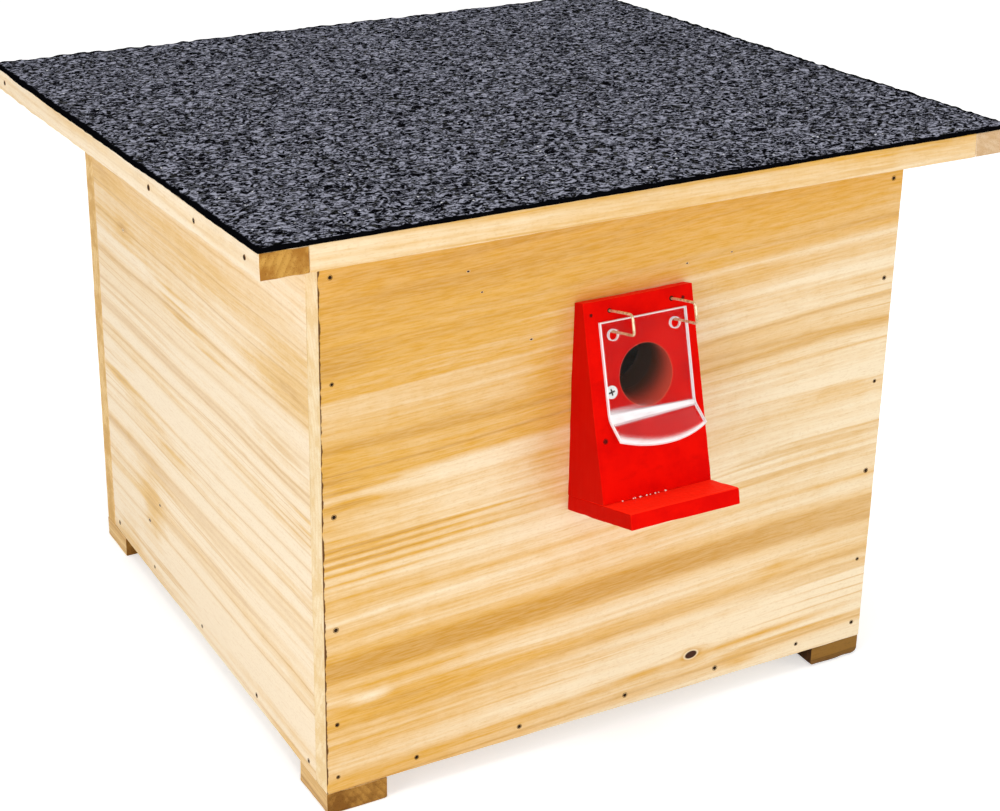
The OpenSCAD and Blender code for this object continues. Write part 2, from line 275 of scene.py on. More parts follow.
class Shade:
    """A small hand for laying out a material's nodes and joining them."""

    def __init__(self, name):
        self.material = bpy.data.materials.new(name)
        self.material.use_nodes = True
        self.tree = self.material.node_tree
        self.surface = self.tree.nodes["Principled BSDF"]
        self.where = self.tree.nodes.new("ShaderNodeTexCoord")
        self.place = self.where.outputs["Object"]

    def join(self, value, socket):
        """A number or colour is set on the socket, and an output is linked."""
        if isinstance(value, bpy.types.NodeSocket):
            self.tree.links.new(value, socket)
        elif isinstance(value, (tuple, list)) and len(value) == 3 and socket.type == "RGBA":
            socket.default_value = (*value, 1.0)
        else:
            socket.default_value = value

    def node(self, kind, **settings):
        n = self.tree.nodes.new(kind)
        for key, value in settings.items():
            setattr(n, key, value)
        return n

    def mapping(self, vector, scale=(1, 1, 1), move=(0, 0, 0), turn=(0, 0, 0)):
        n = self.node("ShaderNodeMapping")
        self.join(vector, n.inputs["Vector"])
        n.inputs["Scale"].default_value = scale
        n.inputs["Location"].default_value = move
        n.inputs["Rotation"].default_value = turn
        return n.outputs["Vector"]

    def noise(self, vector, scale, detail=3.0, rough=0.5, twist=0.0):
        n = self.node("ShaderNodeTexNoise")
        self.join(vector, n.inputs["Vector"])
        n.inputs["Scale"].default_value = scale
        n.inputs["Detail"].default_value = detail
        n.inputs["Roughness"].default_value = rough
        n.inputs["Distortion"].default_value = twist
        return n.outputs["Fac"]

    def cells(self, vector, scale, feature="F1", spread=1.0):
        n = self.node("ShaderNodeTexVoronoi", feature=feature)
        self.join(vector, n.inputs["Vector"])
        n.inputs["Scale"].default_value = scale
        n.inputs["Randomness"].default_value = spread
        return n

    def math(self, operation, a, b=0.0, clamp=False):
        n = self.node("ShaderNodeMath", operation=operation, use_clamp=clamp)
        self.join(a, n.inputs[0])
        self.join(b, n.inputs[1])
        return n.outputs[0]

    def times(self, a, b):
        return self.math("MULTIPLY", a, b)

    def plus(self, a, b):
        return self.math("ADD", a, b)

    def minus(self, a, b):
        return self.math("SUBTRACT", a, b)

    def length(self, a, b):
        return self.math("SQRT", self.plus(self.times(a, a), self.times(b, b)))

    def span(self, value, low, high, to_low=0.0, to_high=1.0, smooth=True):
        n = self.node("ShaderNodeMapRange")
        if smooth:
            n.interpolation_type = "SMOOTHSTEP"
        self.join(value, n.inputs["Value"])
        for key, v in (("From Min", low), ("From Max", high), ("To Min", to_low), ("To Max", to_high)):
            self.join(v, n.inputs[key])
        return n.outputs["Result"]

    def mix(self, factor, a, b, blend="MIX"):
        n = self.node("ShaderNodeMix", data_type="RGBA", blend_type=blend)
        self.join(factor, n.inputs[0])
        self.join(a, n.inputs[6])
        self.join(b, n.inputs[7])
        return n.outputs[2]

    def blend(self, factor, a, b):
        """Mixes two shaders."""
        n = self.node("ShaderNodeMixShader")
        for k, v in enumerate((factor, a, b)):
            self.join(v, n.inputs[k])
        return n.outputs[0]

    def mark(self, key):
        return self.node("ShaderNodeAttribute", attribute_name=key).outputs["Fac"]

    def split(self, vector):
        n = self.node("ShaderNodeSeparateXYZ")
        self.join(vector, n.inputs[0])
        return n.outputs

    def build(self, x, y, z):
        n = self.node("ShaderNodeCombineXYZ")
        for k, v in enumerate((x, y, z)):
            self.join(v, n.inputs[k])
        return n.outputs[0]

    def bump(self, height, strength, distance, under=None):
        n = self.node("ShaderNodeBump")
        self.join(height, n.inputs["Height"])
        n.inputs["Strength"].default_value = strength
        n.inputs["Distance"].default_value = distance
        if under is not None:
            self.join(under, n.inputs["Normal"])
        return n.outputs["Normal"]

    def finish(self, color=None, rough=None, normal=None, **fixed):
        if color is not None:
            self.join(color, self.surface.inputs["Base Color"])
        if rough is not None:
            self.join(rough, self.surface.inputs["Roughness"])
        if normal is not None:
            self.join(normal, self.surface.inputs["Normal"])
        for key, value in fixed.items():
            self.join(value, self.surface.inputs[key.replace("_", " ")])
        return self.material


def softwood(name, along, across, pale, gold, line, end_pale, end_dark, seed, slope=0.0,
             fade=(0, 0, 0), knots=(), patches=(), pitch=15.0, lines=0.8, groups=0.7, gain=1.0,
             bore=None, dark_edge=None):
    """Planed softwood with its grain along one axis. Its tone is a sum of soft
    bands of three widths, all long in the grain's direction. Growth lines are
    thin ridges, where a slow noise crosses its middle value: single ones pitch
    millimetres apart, and tight groups a third of that apart. Knots push the
    lines round them, and patches shift the tone: both give place and size in
    millimetres, then strength. Ends show arcs about a pith
    behind the board. bore gives the centre and radius of a hole whose wall is
    painted dark as shade, and dark_edge the place of an edge with a ragged dark
    seam. along and across name axes 0, 1, 2."""
    s = Shade(name)
    axes = s.split(s.place)
    run, cross, depth = axes[along], axes[across], axes[3 - along - across]
    shift = seed * 1.37
    height = cross

    def gauss(cx, cz, wide, tall):
        """exp(-q), where q = (dx / wide)^2 + (dz / tall)^2, and dz leans with
        the grain"""
        off = s.minus(axes[along], cx)
        lift = s.plus(s.minus(axes[across], cz), s.times(off, slope))
        dx = s.times(off, 1.0 / wide)
        dz = s.times(lift, 1.0 / tall)
        q = s.plus(s.times(dx, dx), s.times(dz, dz))
        return s.math("POWER", 2.718, s.times(q, -1.0)), dz

    drift = s.noise(s.build(s.times(run, 2.6), s.times(cross, 6.0), shift), 1.0, 2.0)
    cross = s.plus(cross, s.times(run, slope))
    cross = s.plus(cross, s.times(s.minus(drift, 0.5), 0.016))
    heart = None
    for kx, kz, size, strength in knots:
        kx, kz, size = kx * MM, kz * MM, size * MM
        pull, dz = gauss(kx, kz, size * 4.5, size * 2.2)
        cross = s.plus(cross, s.times(s.times(pull, dz), -1.7 * size * strength))
        spot, _ = gauss(kx, kz, size * 1.45, size * 0.85)
        spot = s.times(spot, strength)
        heart = spot if heart is None else s.math("MAXIMUM", heart, spot)

    def streak(width, length, detail, offset, rough=0.5):
        v = s.build(s.times(run, 1.0 / length), s.times(cross, 1.0 / width),
                    s.plus(s.times(depth, 1.0 / width), shift + offset))
        return s.noise(v, 1.0, detail, rough)

    def ridge(value, wide):
        return s.span(s.math("ABSOLUTE", s.minus(value, 0.5)), 0.0, wide, 1.0, 0.0)

    broad = streak(0.060, 0.50, 2.0, 0.0)
    band = streak(0.017, 0.46, 2.0, 11.0, 0.5)
    fine = streak(0.0048, 0.30, 3.0, 23.0, 0.6)
    fibre = streak(0.0012, 0.016, 2.0, 31.0, 0.6)
    blot = s.noise(s.place, 70.0, 4.0, 0.6)

    tone = s.plus(fade[0], s.plus(s.times(axes[along], fade[1]), s.times(height, fade[2])))
    for px, pz, wide, tall, force in patches:
        tone = s.plus(tone, s.times(gauss(px * MM, pz * MM, wide * MM, tall * MM)[0], force))
    for value, weight in ((broad, 1.2), (band, 1.9), (fine, 1.9), (blot, 0.5)):
        tone = s.plus(tone, s.times(s.minus(value, 0.5), weight * gain))
    base = s.mix(s.span(tone, 0.0, 1.0, smooth=False), pale, gold)
    base = s.mix(s.span(tone, 1.05, 1.9, 0.0, 0.60), base, line)

    # Growth lines, single and in groups, strong in places and faint in others
    single = streak(0.001 * pitch * 2.2, 1.7, 0.0, 41.0)
    tight = streak(0.001 * pitch * 0.62, 0.9, 0.0, 53.0)
    where = streak(0.030, 0.22, 1.0, 61.0)
    near = ridge(single, 0.022)
    soft = ridge(single, 0.085)
    group = s.times(ridge(tight, 0.060), s.span(where, 0.50, 0.66))
    base = s.mix(s.times(soft, 0.70 * lines), base, gold)
    base = s.mix(s.times(near, s.span(broad, 0.35, 0.6, 0.25 * lines, 0.75 * lines)), base, line)
    base = s.mix(s.times(group, groups), base, s.mix(0.22, gold, line))

    # Fibres, pores and the odd dark fleck
    base = s.mix(s.span(fibre, 0.30, 0.70, 0.16, 0.0), base, tuple(min(1.0, 1.1 * c) for c in pale))
    base = s.mix(s.span(fibre, 0.52, 0.80, 0.0, 0.24), base, s.mix(0.35, gold, line))
    speck = s.noise(s.build(s.times(run, 420.0), s.times(cross, 950.0),
                            s.times(depth, 950.0)), 1.0, 1.0)
    base = s.mix(s.span(speck, 0.28, 0.46, 0.12, 0.0), base, line)
    if heart is not None:
        base = s.mix(s.span(heart, 0.02, 0.12, 0.0, 0.25), base, line)
        base = s.mix(s.span(heart, 0.16, 0.30, 0.0, 0.7), base, pale)
        base = s.mix(s.span(heart, 0.34, 0.52), base, (0.045, 0.012, 0.003))

    # End grain: arcs of rings, with blots and pores
    off_pith = s.minus(cross, 0.12 + 0.09 * math.sin(seed))
    out_pith = s.minus(depth, 0.09)
    rings = s.math("FRACT", s.times(s.length(off_pith, out_pith), 240.0))
    late = s.times(s.span(rings, 0.3, 0.85), s.span(rings, 0.9, 1.0, 1.0, 0.0))
    ended = s.span(s.math("ABSOLUTE", s.split(s.where.outputs["Normal"])[along]), 0.6, 0.9)
    pore = s.cells(s.mapping(s.place, (900, 900, 900)), 1.0).outputs["Distance"]
    end = s.mix(s.span(blot, 0.38, 0.62), end_pale, end_dark)
    end = s.mix(s.times(late, 0.45), end, end_dark)
    end = s.mix(s.span(pore, 0.10, 0.40, 0.40, 0.0), end, end_dark, "MULTIPLY")
    color = s.mix(ended, base, end)
    # Painted shade: where a bore is given, the hole's wall is painted dark, as no light reaches into it
    if bore:
        far = s.length(s.minus(axes[along], bore[0]), s.minus(axes[across], bore[1]))
        inside = s.span(far, bore[2] + 0.3 * MM, bore[2] + 0.8 * MM, 1.0, 0.0)
        color = s.mix(inside, color, (0.085, 0.030, 0.010))
    if dark_edge is not None:
        wander = s.noise(s.mapping(s.place, (0, 0, 75)), 1.0, 3.0, 0.6)
        gap = s.minus(s.minus(axes[along], dark_edge), s.span(wander, 0.30, 0.70, 0.1 * MM, 1.7 * MM))
        mark = s.times(s.span(gap, -0.3 * MM, 0.3 * MM, 1.0, 0.0), s.minus(1.0, ended))
        color = s.mix(mark, color, (0.110, 0.040, 0.006))

    grain = s.plus(s.times(fine, 0.5), s.times(fibre, 0.6))
    grain = s.minus(grain, s.times(near, 0.4))
    grain = s.plus(grain, s.times(s.times(blot, ended), 1.2))
    normal = s.bump(grain, 0.35, 0.35 * MM)
    rough = s.plus(s.span(band, 0.3, 0.7, 0.52, 0.62), s.times(ended, 0.2))
    return s.finish(color, rough, normal, Specular_IOR_Level=0.20)


PALE = (0.870, 0.725, 0.500)
CREAM = (0.925, 0.775, 0.570)
GOLD = (0.690, 0.365, 0.050)
LIGHT_GOLD = (0.790, 0.520, 0.210)
OCHRE = (0.500, 0.232, 0.020)
PALE_END, DARK_END = (0.910, 0.750, 0.500), (0.820, 0.600, 0.310)
front_wood = softwood(
    "front_wood", 0, 2, PALE, GOLD, OCHRE, PALE_END, DARK_END, 2.0, slope=-0.045,
    fade=(0.34, -1.35, 0.0), pitch=16.0, lines=0.85, groups=0.55, gain=0.85,
    knots=((60, 39, 3.4, 1), (-108, 334, 0.7, 1), (-99, 320, 0.6, 0.9), (40, 314, 0.7, 0.8),
           (72, 316, 0.6, 0.8), (-66, 285, 0.8, 0.8),),
    patches=((-205, 309, 55, 10, 0.55), (-205, 290, 35, 7, 0.6), (-205, 231, 30, 6, 0.6),
             (-50, 256, 20, 20, 0.55), (-50, 215, 16, 30, 0.35), (-138, 67, 30, 7, 0.6),
             (165, 208, 50, 5, 0.55), (170, 170, 55, 6, 0.5), (-110, 205, 60, 22, -0.45),
             (0, 345, 600, 55, 1.1), (-120, 255, 120, 90, 0.3), (-150, 75, 80, 35, 0.25),
             (112, 39.5, 50, 1.6, 1), (150, 34, 60, 1.4, 0.8), (25, 36.5, 28, 2, 0.7),
             (62, 39, 11, 6, 0.6), (98, 25, 16, 5, 0.7), (125, 88, 16, 3.5, 0.6),
             (-199, 222, 22, 2.2, 0.9), (-199, 240, 18, 1.6, 0.9), (-155, 180, 75, 1.1, 1.7),
             (-175, 173.8, 60, 1.1, 1.6), (-175, 168.8, 60, 1, 1.4), (-160, 164, 55, 1, 0.9),
             (-160, 157.5, 50, 1, 0.7), (-185, 206, 22, 2.2, 1.3), (-185, 215, 30, 1.3, 1.2),
             (-120, 100, 100, 7, 0.55), (-170, 75, 12, 3.5, -0.9), (-150, 84, 50, 4, 0.5),
             (-170, 69, 30, 4, 0.4),),
    bore=(0.0, HOLE_Z, HOLE_R), dark_edge=-HALF,
)
back_wood = softwood(
    "back_wood", 0, 2, PALE, GOLD, OCHRE, (0.840, 0.600, 0.290), (0.660, 0.400, 0.140), 7.0, slope=0.03,
    fade=(0.25, 0.3, 0.2), knots=((-90, 220, 6, 1), (120, 100, 3, 0.9),),
)
left_wood = softwood(
    "left_wood", 1, 2, CREAM, LIGHT_GOLD, (0.480, 0.215, 0.035), PALE_END, DARK_END, 4.0, slope=0.02,
    fade=(-0.12, 0.0, 0.85), pitch=9.0, lines=0.50, groups=0.70, gain=1.2,
    knots=((117, 58, 1.6, 0.8), (93, 81, 1.3, 0.8), (140, 270, 1.6, 0.5),),
    patches=((189, 300, 50, 22, 0.7), (140, 272, 12, 7, 0.9), (-150, 268, 55, 26, 0.95),
             (20, 300, 150, 26, 0.65), (108, 72, 24, 26, 1.3), (167, 150, 40, 3.5, 1.2),
             (110, 143, 45, 3, 1.2), (150, 166, 45, 3, 0.9), (60, 135, 30, 3, 0.8),
             (-129, 17, 50, 5, 1.3), (51, 257, 35, 1.4, 1.5), (40, 250, 32, 1.2, 1.4),
             (30, 243, 30, 1.2, 1.3), (-19, 236, 30, 1.2, 1.4), (-160, 190, 22, 1.4, 1.3),
             (-165, 182, 20, 1.2, 1.3), (160, 30, 30, 15, 0.7), (-20, 110, 120, 50, -0.25),),
)
right_wood = softwood(
    "right_wood", 1, 2, CREAM, LIGHT_GOLD, (0.480, 0.215, 0.035), PALE_END, DARK_END, 12.0, slope=-0.02,
    fade=(0.15, 0.2, 0.4), pitch=9.0, lines=0.4, groups=0.6, knots=((-50, 190, 5, 0.9),),
)
floor_wood = softwood(
    "floor_wood", 0, 1, PALE, GOLD, OCHRE, PALE_END, DARK_END, 17.0, fade=(0.4, 0, 0),
    knots=((70, 50, 6, 1), (-120, -90, 4, 0.9),),
)
lid_wood = softwood(
    "lid_wood", 0, 1, PALE, GOLD, OCHRE, PALE_END, DARK_END, 21.0, slope=0.02,
    fade=(0.58, -0.3, 0), pitch=12.0, lines=0.4, gain=0.8,
)
left_batten_wood = softwood(
    "left_batten_wood", 1, 2, CREAM, LIGHT_GOLD, OCHRE, (0.560, 0.300, 0.060), (0.360, 0.150, 0.018), 27.0,
    fade=(0.15, 0, 0), pitch=8.0, lines=0.3, groups=0.4,
)
right_batten_wood = softwood(
    "right_batten_wood", 1, 2, CREAM, LIGHT_GOLD, OCHRE, (0.670, 0.480, 0.290), (0.560, 0.350, 0.170), 31.0,
    fade=(0.15, 0, 0), pitch=8.0, lines=0.3, groups=0.4,
)
foot_wood = softwood(
    "foot_wood", 1, 2, (0.80, 0.56, 0.26), (0.60, 0.33, 0.10), (0.30, 0.13, 0.03),
    (0.430, 0.215, 0.040), (0.210, 0.085, 0.010), 33.0, fade=(0.3, 0, 0), pitch=8.0,
)
dark_foot_wood = softwood(
    "dark_foot_wood", 0, 2, (0.260, 0.125, 0.018), (0.110, 0.042, 0.004), (0.020, 0.007, 0.001),
    (0.100, 0.038, 0.008), (0.035, 0.012, 0.002), 35.0, fade=(0.5, 0, 0), pitch=3.0, gain=2.2,
)


def roofing_felt_material():
    """Mineral felt: crumbs of blue-grey grit stand in black bitumen. One noise
    gives both the crumbs' tone and their height, a finer one breaks them up,
    and a few flakes are almost white. The tone is partly painted light: the
    gaps go black as painted shade over the bitumen, and higher crumbs are
    painted lighter as a painted highlight."""
    s = Shade("mineral_felt")
    crumb = s.noise(s.mapping(s.place, (1.0, 1.25, 1.0)), 260.0, 2.0, 0.60, 1.0)
    grit = s.noise(s.place, 900.0, 2.0, 0.6)
    patch = s.noise(s.place, 22.0, 3.0, 0.6)
    small = s.cells(s.place, 420.0)
    tint = s.split(small.outputs["Color"])
    level = s.plus(crumb, s.times(s.minus(grit, 0.5), 0.30))
    level = s.plus(level, s.times(s.minus(patch, 0.5), 0.05))
    # Painted light and shade, in part: the gaps between crumbs run to black, partly bitumen and partly painted
    # shade, and the higher a crumb stands the lighter it is painted, a painted highlight
    grey = s.mix(s.span(level, 0.470, 0.502, smooth=False), (0.0010, 0.0010, 0.0016), (0.068, 0.070, 0.090))
    grey = s.mix(s.span(level, 0.520, 0.60, smooth=False), grey, (0.300, 0.306, 0.372))
    grey = s.mix(s.span(tint[1], 0.80, 0.95, 0.0, 0.5), grey, (0.040, 0.040, 0.034))
    flake = s.times(s.span(tint[2], 0.978, 0.988), s.span(small.outputs["Distance"], 0.20, 0.34, 1.0, 0.0))
    color = s.mix(flake, grey, (0.78, 0.78, 0.80))
    color = s.mix(s.span(s.mark("rim"), 0.25, 0.50), color, (0.0020, 0.0020, 0.0026))
    lump = s.bump(level, 1.0, 1.6 * MM)
    return s.finish(color, s.span(level, 0.40, 0.60, 0.75, 0.95), lump, Specular_IOR_Level=0.0)


def red_paint_material():
    """Red paint brushed over wood: the grain shows through, with brush marks.
    Light and shade are painted in: highlights on convex edges and upward faces,
    shade in creases and on the sides, and the bore darkens inwards as painted shade."""
    s = Shade("red_paint")
    grain = s.noise(s.mapping(s.place, (60, 420, 34)), 1.0, 3.0, 0.6)
    brush = s.noise(s.mapping(s.place, (520, 300, 26)), 1.0, 2.0, 0.5)
    cloud = s.noise(s.place, 38.0, 4.0, 0.6)
    color = s.mix(s.span(cloud, 0.35, 0.65), (0.640, 0.0016, 0.0006), (0.760, 0.0032, 0.0006))
    color = s.mix(s.span(grain, 0.52, 0.75, 0.0, 0.40), color, (0.520, 0.0012, 0.0008))
    # Painted highlight and shade: convex edges are painted a brighter red where they catch the light, and
    # concave creases a darker red where shade falls
    edge = s.node("ShaderNodeNewGeometry").outputs["Pointiness"]
    color = s.mix(s.span(edge, 0.52, 0.60, 0.0, 0.5), color, (0.900, 0.035, 0.010))
    color = s.mix(s.span(edge, 0.40, 0.48, 0.7, 0.0), color, (0.250, 0.001, 0.001))
    # Painted shade: faces turned to the left or right are painted a darker red, as the sides get less light
    painted_side_shade = s.span(s.math("ABSOLUTE", s.split(s.where.outputs["Normal"])[0]), 0.6, 0.9, 0.0, 0.8)
    color = s.mix(painted_side_shade, color, (0.460, 0.0030, 0.0008))
    lit = s.span(s.split(s.where.outputs["Normal"])[2], 0.6, 0.9, 0.0, 0.9)
    color = s.mix(lit, color, (0.970, 0.022, 0.007))
    axes = s.split(s.place)
    far = s.length(axes[0], s.minus(axes[2], HOLE_Z))
    inside = s.span(far, HOLE_R + 0.3 * MM, HOLE_R + 0.9 * MM, 1.0, 0.0)
    # Painted shade: the bore's wall darkens from its mouth inwards, where little light reaches
    deep = s.span(axes[1], FRONT_Y - 0.022, FRONT_Y - 0.001)
    bore = s.mix(deep, (0.700, 0.070, 0.035), (0.140, 0.040, 0.015))
    color = s.mix(inside, color, bore)
    normal = s.bump(grain, 0.35, 0.25 * MM)
    normal = s.bump(brush, 0.30, 0.15 * MM, normal)
    return s.finish(color, s.span(brush, 0.3, 0.7, 0.40, 0.55), normal, Specular_IOR_Level=0.015)


def clear_sheet_material():
    """Clear acrylic sheet: most light passes straight through, and some is
    reflected, more at a slant. A painted highlight lies white along the bend,
    scuffs mist the sheet, and a narrow rim shows white round its outline and
    its hanging holes."""
    s = Shade("clear_sheet")
    scuff = s.noise(s.mapping(s.place, (900, 900, 40), turn=(0.3, 0.2, 0.5)), 1.0, 4.0, 0.7)
    cloud = s.noise(s.mapping(s.place, (50, 260, 260)), 1.0, 3.0)
    wave = s.bump(s.noise(s.place, 60.0, 2.0), 0.05, 0.3 * MM)
    through = s.node("ShaderNodeBsdfTransparent")
    through.inputs["Color"].default_value = (0.955, 0.962, 0.965, 1)
    slant = s.node("ShaderNodeFresnel")
    slant.inputs["IOR"].default_value = 1.49
    s.join(wave, slant.inputs["Normal"])
    mirror = s.plus(s.times(slant.outputs[0], 0.12), s.span(scuff, 0.60, 0.80, 0.0, 0.05))
    glassy = s.blend(mirror, through.outputs[0], s.surface.outputs[0])
    glint_and_rim_white = s.node("ShaderNodeBsdfDiffuse")
    glint_and_rim_white.inputs["Color"].default_value = (0.93, 0.90, 0.92, 1)
    # Painted highlight: the bend is painted white where the sheet reflects the light; the rim round the
    # outline and the hanging holes is white too
    glint_and_rim = s.times(s.mark("bend"), s.span(cloud, 0.25, 0.60, 0.70, 1.0))
    across, down = s.mark("across"), s.mark("down")
    ring = s.length(s.minus(across, HANG_X), s.minus(down, HANG_DROP))
    gap = s.math("MINIMUM", s.minus(FLAP_HALF, across), s.math("MINIMUM", down, s.mark("to_lip")))
    gap = s.math("MINIMUM", gap, s.minus(ring, HANG_R - 0.25 * MM))
    glint_and_rim = s.math("MAXIMUM", glint_and_rim, s.span(gap, 0.55 * MM, 0.95 * MM, 0.95, 0.0))
    sheet_with_glint = s.blend(glint_and_rim, glassy, glint_and_rim_white.outputs[0])
    s.join(sheet_with_glint, s.tree.nodes["Material Output"].inputs["Surface"])
    return s.finish((0.97, 0.97, 0.97), s.span(scuff, 0.55, 0.80, 0.03, 0.20), wave, Metallic=1.0)


def cut_edge_material():
    """The sheet's sawn and scraped edges: bright, frosted and half clear."""
    s = Shade("frosted_edge")
    marks = s.noise(s.mapping(s.place, (1500, 1500, 1500)), 1.0, 2.0)
    color = s.mix(s.span(marks, 0.3, 0.7), (0.86, 0.88, 0.89), (0.97, 0.98, 0.98))
    return s.finish(color, s.span(marks, 0.3, 0.7, 0.30, 0.55), s.bump(marks, 0.3, 0.1 * MM),
                    Transmission_Weight=0.25, IOR=1.49)


def metal(name, light, dark, rough_low, rough_high, scale, metallic=1.0, shine=0.5):
    """Metal whose colour and gloss vary a little in spots and scratches."""
    s = Shade(name)
    spot = s.noise(s.place, scale, 4.0, 0.6)
    scratch = s.noise(s.mapping(s.place, (3000, 300, 3000), turn=(0.4, 0.7, 0.2)), 1.0, 2.0)
    color = s.mix(s.span(spot, 0.35, 0.70), light, dark)
    rough = s.span(scratch, 0.3, 0.7, rough_low, rough_high)
    normal = s.bump(scratch, 0.2, 0.05 * MM)
    return s.finish(color, rough, normal, Metallic=metallic, Specular_IOR_Level=shine)


FLAP_X, FLAP_HALF, FLAP_T = 1.0 * MM, 30.0 * MM, 2.0 * MM
HANG_X, HANG_DROP, HANG_R = 21.5 * MM, 8.5 * MM, 3.0 * MM
felt_finish = roofing_felt_material()
red_finish = red_paint_material()
clear_finish = clear_sheet_material()
edge_finish = cut_edge_material()
wire_finish = metal("hook_wire", (0.80, 0.66, 0.44), (0.42, 0.28, 0.13), 0.25, 0.45, 420.0, 0.45)
zinc_finish = metal("bright_zinc", (0.95, 0.95, 0.93), (0.88, 0.88, 0.86), 0.30, 0.45, 700.0, 0.05)
nail_finish = metal("dark_nail", (0.030, 0.016, 0.008), (0.008, 0.004, 0.002), 0.60, 0.80, 900.0, 0.0, 0.08)
painted = (0.50, 0.70, 900.0, 0.0, 0.05)
painted_nail = metal("painted_nail", (0.130, 0.006, 0.004), (0.060, 0.003, 0.002), *painted)
painted_ring = metal("painted_ring", (0.420, 0.004, 0.002), (0.300, 0.003, 0.002), *painted)
torn_finish = metal("bruised_wood", (0.20, 0.085, 0.022), (0.10, 0.038, 0.010), 0.70, 0.85, 900.0, 0.0, 0.08)


# ---- boards

hole_at = (0.0, FRONT_Y, HOLE_Z)


def four(x, y, z0, z1):
    """Corners of an upright face, anticlockwise from lower left."""
    return [(-x, y, z0), (x, y, z0), (x, y, z1), (-x, y, z1)]


pierced_board(
    "front_board",
    (four(HALF, FRONT_Y, FOOT, wall_top(FRONT_Y)),
     four(HALF, FRONT_Y + WALL, FOOT, wall_top(FRONT_Y + WALL))),
    hole_at, HOLE_R, "box", front_wood, 3, rings=46, around=320,
)
standing_board("back_board", back_lo, back_hi, back_wood, 11)
for side, wood, seed in (("left", left_wood, 23), ("right", right_wood, 29)):
    lo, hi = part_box(side + "_wall")
    standing_board(side + "_wall", np.array(lo), np.array(hi), wood, seed)

lo, hi = (np.array(c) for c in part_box("floor_board"))
pts, faces = lattice(steps(lo[0], hi[0], 6 * MM), steps(lo[1], hi[1], 6 * MM), steps(lo[2], hi[2], 5 * MM))
pts = weathered(pts, 37)
ease(make_piece("floor_board", pts, faces, "box", [floor_wood], ("floor_board",)), 0.6 * MM)

# Lid: the length along the slope comes from the felt's own box
lid_from = (felt_lo[1] - FRONT_Y - (LID_BOARD * math.sin(LID_TILT))) / math.cos(LID_TILT)
lid_to = (felt_hi[1] - FRONT_Y - ((LID_BOARD + FELT) * math.sin(LID_TILT))) / math.cos(LID_TILT)
lid_half = felt_hi[0]
batten_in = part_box("left_lid_batten")[1][0]
pts, faces = lattice(
    steps(batten_in + 0.15 * MM, -batten_in - 0.15 * MM, 5 * MM),
    steps(lid_from, lid_to, 5 * MM),
    steps(0, LID_BOARD, 3 * MM),
)
pts = lid_place(weathered(pts, 41))
ease(make_piece("lid_board", pts, faces, "lid", [lid_wood], ("lid_board",)), 0.6 * MM)
for name, x0, x1, seed, wood in (
    ("left_lid_batten", -lid_half, batten_in, 43, left_batten_wood),
    ("right_lid_batten", -batten_in, lid_half, 47, right_batten_wood),
):
    pts, faces = lattice(steps(x0, x1, 3 * MM), steps(lid_from, lid_to, 4 * MM), steps(0, LID_BOARD, 2.5 * MM))
    pts = lid_place(weathered(pts, seed, 0.15 * MM, 0.15 * MM))
    ease(make_piece(name, pts, faces, "lid", [wood], (name,)), 0.8 * MM)


def felt_sheet():
    """The felt: a fine top grid whose height is blurred random noise cut off
    above and below, so that it lies in granule clumps; its cut edge wanders by
    part of a millimetre, and a skirt and a flat underside close it."""
    nx, ny = 300, 286
    over = 0.6 * MM
    xs = np.linspace(-lid_half - over, lid_half + over, nx)
    ys = np.linspace(lid_from - over, lid_to + over, ny)
    rng = np.random.default_rng(5)
    noise = np.fft.rfft2(rng.normal(size=(nx, ny)))
    fx = np.fft.fftfreq(nx)[:, None]
    fy = np.fft.rfftfreq(ny)[None]
    clump = np.fft.irfft2(noise * np.exp(-((fx**2 + fy**2) * 22.0)), s=(nx, ny))
    clump = np.clip(clump / clump.std(), -1.4, 1.6)
    gx, gy = np.meshgrid(xs, ys, indexing="ij")
    flat = np.column_stack((gx.ravel(), gy.ravel(), np.zeros(nx * ny)))
    ragged = 0.12 * MM * waves(flat, 9 * MM, 8) + 0.35 * MM * waves(flat, 60 * MM, 9)
    ragged = ragged.reshape(nx, ny)
    rim_x = np.zeros((nx, ny))
    rim_x[0], rim_x[-1] = 1.0, -1.0
    rim_y = np.zeros((nx, ny))
    rim_y[:, 0], rim_y[:, -1] = 1.0, -1.0
    sag = 0.15 * MM * waves(flat, 120 * MM, 10).reshape(nx, ny)
    top = LID_BOARD + FELT + 0.15 * MM + 0.34 * MM * clump + sag
    inset = over + np.minimum(lid_half - abs(gx), np.minimum(gy - lid_from, lid_to - gy))
    top = top - 0.2 * MM * np.clip(1 - inset / (2.5 * MM), 0, 1)
    top_pts = np.column_stack(
        ((gx + ragged * rim_x).ravel(), (gy + ragged * rim_y).ravel(), top.ravel())
    )
    index = np.arange(nx * ny).reshape(nx, ny)
    a, b, c, d = index[:-1, :-1], index[1:, :-1], index[1:, 1:], index[:-1, 1:]
    faces = np.stack((a, b, c, d), axis=-1).reshape(-1, 4).tolist()
    rim = np.concatenate((index[:-1, 0], index[-1, :-1], index[:0:-1, -1], index[0, :0:-1]))
    low = top_pts[rim].copy()
    low[:, 2] = LID_BOARD + 0.02 * MM
    count, base = len(rim), nx * ny
    k = np.arange(count)
    k2 = (k + 1) % count
    faces += np.stack((rim[k], base + k, base + k2, rim[k2]), axis=-1).tolist()
    faces.append((base + k[::-1]).tolist())
    rim_mark = np.concatenate((np.clip(1 - inset.ravel() / (5.5 * MM), 0, 1), np.ones(count)))
    return lid_place(np.concatenate((top_pts, low))), faces, rim_mark


pts, faces, rim_mark = felt_sheet()
make_piece("roofing_felt", pts, faces, "lid", [felt_finish], ("roofing_felt",),
           marks={"rim": rim_mark})

